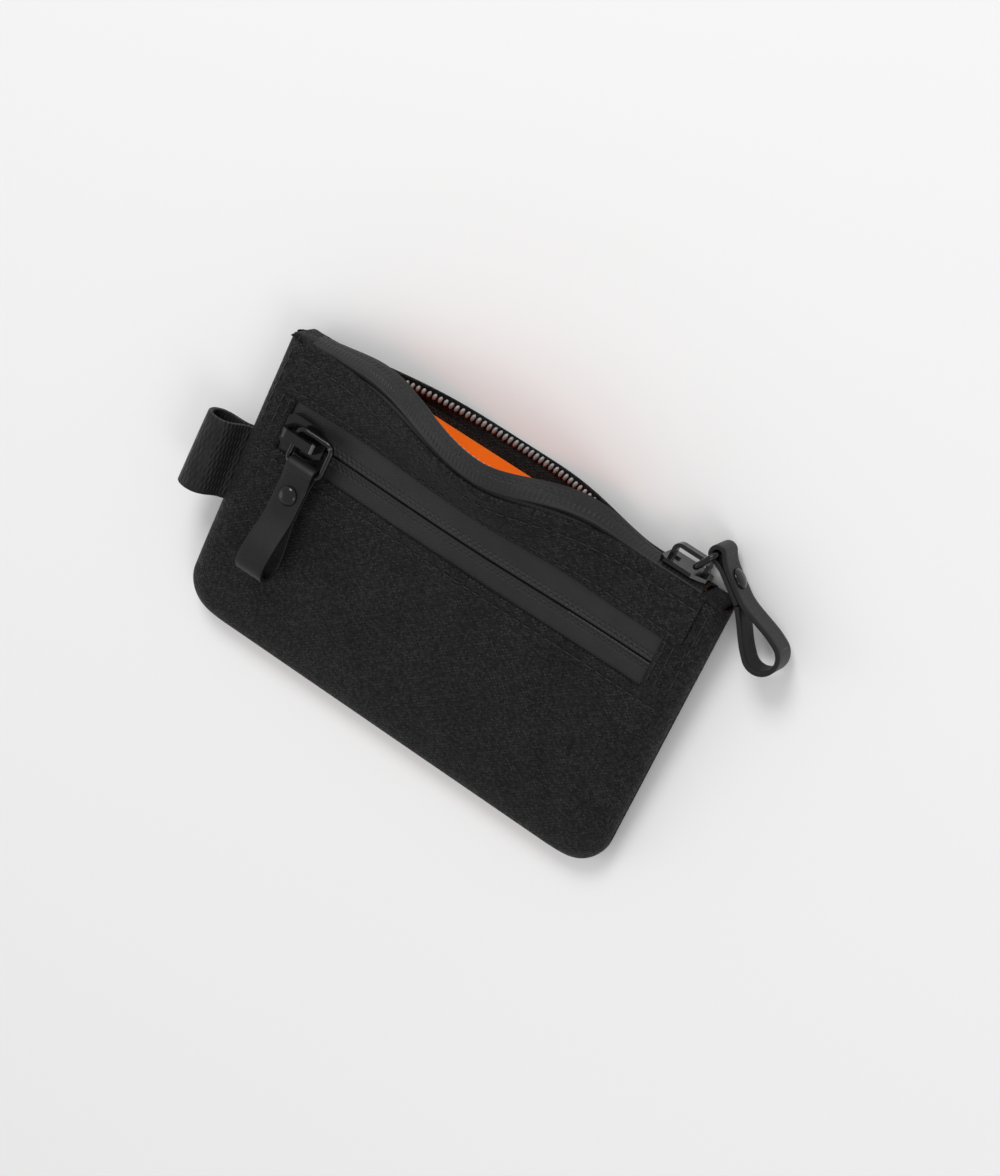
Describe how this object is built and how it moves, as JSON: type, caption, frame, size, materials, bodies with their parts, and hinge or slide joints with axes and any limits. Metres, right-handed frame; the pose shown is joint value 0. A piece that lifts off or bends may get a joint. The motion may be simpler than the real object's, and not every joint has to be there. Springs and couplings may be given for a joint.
{
  "type": "zippered pouch",
  "caption": "Small flat woven pouch with a main zip along the top, a zipped front pocket, a webbing loop in one side seam and leather zip pulls.",
  "frame": {"origin": "middle of the back panel's outer face, where the pouch lies on a table", "axes": "+X along the zips to the main slider's open end, +Y towards the main zip, +Z out of the front pocket"},
  "size_m": [0.1528, 0.0885, 0.027],
  "materials": {
    "nylon_black": "satin woven",
    "lining_orange": "plain woven",
    "zip_tape": "laminated satin",
    "zip_coil": "satin",
    "slider_metal": "gloss black",
    "leather_black": "smooth matte",
    "rivet_metal": "gloss black",
    "webbing_black": "ribbed weave"
  },
  "bodies": {
    "root": {"back_panel": "nylon_black", "front_side_left": "nylon_black", "front_side_right": "nylon_black", "back_lining": "lining_orange", "front_lower_panel": "nylon_black", "front_lining": "lining_orange", "pocket_bag": "lining_orange", "pocket_zip_tape_lower": "zip_tape", "pocket_zip_tape_upper": "zip_tape", "pocket_zip_coil": "zip_coil", "zip_end_tab_left": "nylon_black", "zip_end_tab_right": "nylon_black", "pocket_end_tab_left": "nylon_black", "pocket_end_tab_right": "nylon_black"},
    "front_flap": {"front_upper_panel": "nylon_black"},
    "front_lip": {"main_zip_tape_front": "zip_tape", "main_zip_coil_front": "zip_coil"},
    "back_lip": {"main_zip_tape_back": "zip_tape", "main_zip_coil_back": "zip_coil"},
    "main_slider": {"main_slider_body": "slider_metal", "main_slider_crown": "slider_metal", "main_slider_lock_pin": "slider_metal"},
    "main_ring": {"main_pull_ring": "slider_metal"},
    "main_strap": {"main_pull_strap": "leather_black", "main_pull_rivet_cap": "rivet_metal", "main_pull_rivet_back": "rivet_metal"},
    "pocket_slider": {"pocket_slider_body": "slider_metal", "pocket_slider_crown": "slider_metal", "pocket_slider_lock_pin": "slider_metal"},
    "pocket_ring": {"pocket_pull_ring": "slider_metal"},
    "pocket_strap": {"pocket_pull_strap": "leather_black", "pocket_pull_rivet_cap": "rivet_metal", "pocket_pull_rivet_back": "rivet_metal"},
    "side_loop": {"side_webbing_loop": "webbing_black"}
  },
  "joints": [
    {"name": "main_zip_slide", "type": "slide", "parent": "root", "child": "main_slider", "axis": [-1, 0, 0], "range_m": [0, 0.098]},
    {"name": "front_flap_fold", "type": "hinge", "parent": "root", "child": "front_flap", "pos_m": [0, 0.025, 0.0156], "axis": [1, 0, 0], "range_deg": [-54, 0], "deforming": ["front_upper_panel"]},
    {"name": "front_lip_roll", "type": "hinge", "parent": "root", "child": "front_lip", "pos_m": [0, 0.0316, 0.0177], "axis": [1, 0, 0], "range_deg": [-92.8, 0], "deforming": ["main_zip_tape_front", "main_zip_coil_front"]},
    {"name": "back_lip_roll", "type": "hinge", "parent": "root", "child": "back_lip", "pos_m": [0, 0.0376, 0.001], "axis": [1, 0, 0], "range_deg": [0, 80], "deforming": ["main_zip_tape_back", "main_zip_coil_back"]},
    {"name": "main_ring_swing", "type": "hinge", "parent": "main_slider", "child": "main_ring", "pos_m": [0.0516, 0.04305, 0.006], "axis": [0, 0, 1], "range_deg": [0, 70]},
    {"name": "main_strap_swing", "type": "hinge", "parent": "main_ring", "child": "main_strap", "pos_m": [0.0546, 0.04825, 0.006], "axis": [0, 0, 1], "range_deg": [0, 141]},
    {"name": "pocket_zip_slide", "type": "slide", "parent": "root", "child": "pocket_slider", "axis": [1, 0, 0], "range_m": [0, 0.094], "deforming": ["pocket_zip_tape_lower", "pocket_zip_tape_upper", "pocket_zip_coil"]},
    {"name": "pocket_ring_swivel", "type": "hinge", "parent": "pocket_slider", "child": "pocket_ring", "pos_m": [-0.0425, 0.0182, 0.015], "axis": [0, 0, 1], "range_deg": [-8, 20]},
    {"name": "pocket_strap_lift", "type": "hinge", "parent": "pocket_ring", "child": "pocket_strap", "pos_m": [-0.0431, 0.0121, 0.01497], "axis": [-1, 0, 0], "range_deg": [0, 110]},
    {"name": "side_loop_fold", "type": "hinge", "parent": "root", "child": "side_loop", "pos_m": [-0.0628, 0.001, 0.0059], "axis": [0, 1, 0], "range_deg": [-28, 5]}
  ],
  "couplings": [
    {"joint": "main_ring_swing", "follows": "main_zip_slide", "rad_per_m": 12.4},
    {"joint": "main_strap_swing", "follows": "main_zip_slide", "rad_per_m": 25},
    {"joint": "front_flap_fold", "follows": "main_zip_slide", "rad_per_m": -9.61},
    {"joint": "front_lip_roll", "follows": "main_zip_slide", "rad_per_m": -16.52},
    {"joint": "back_lip_roll", "follows": "main_zip_slide", "rad_per_m": 14.24}
  ]
}
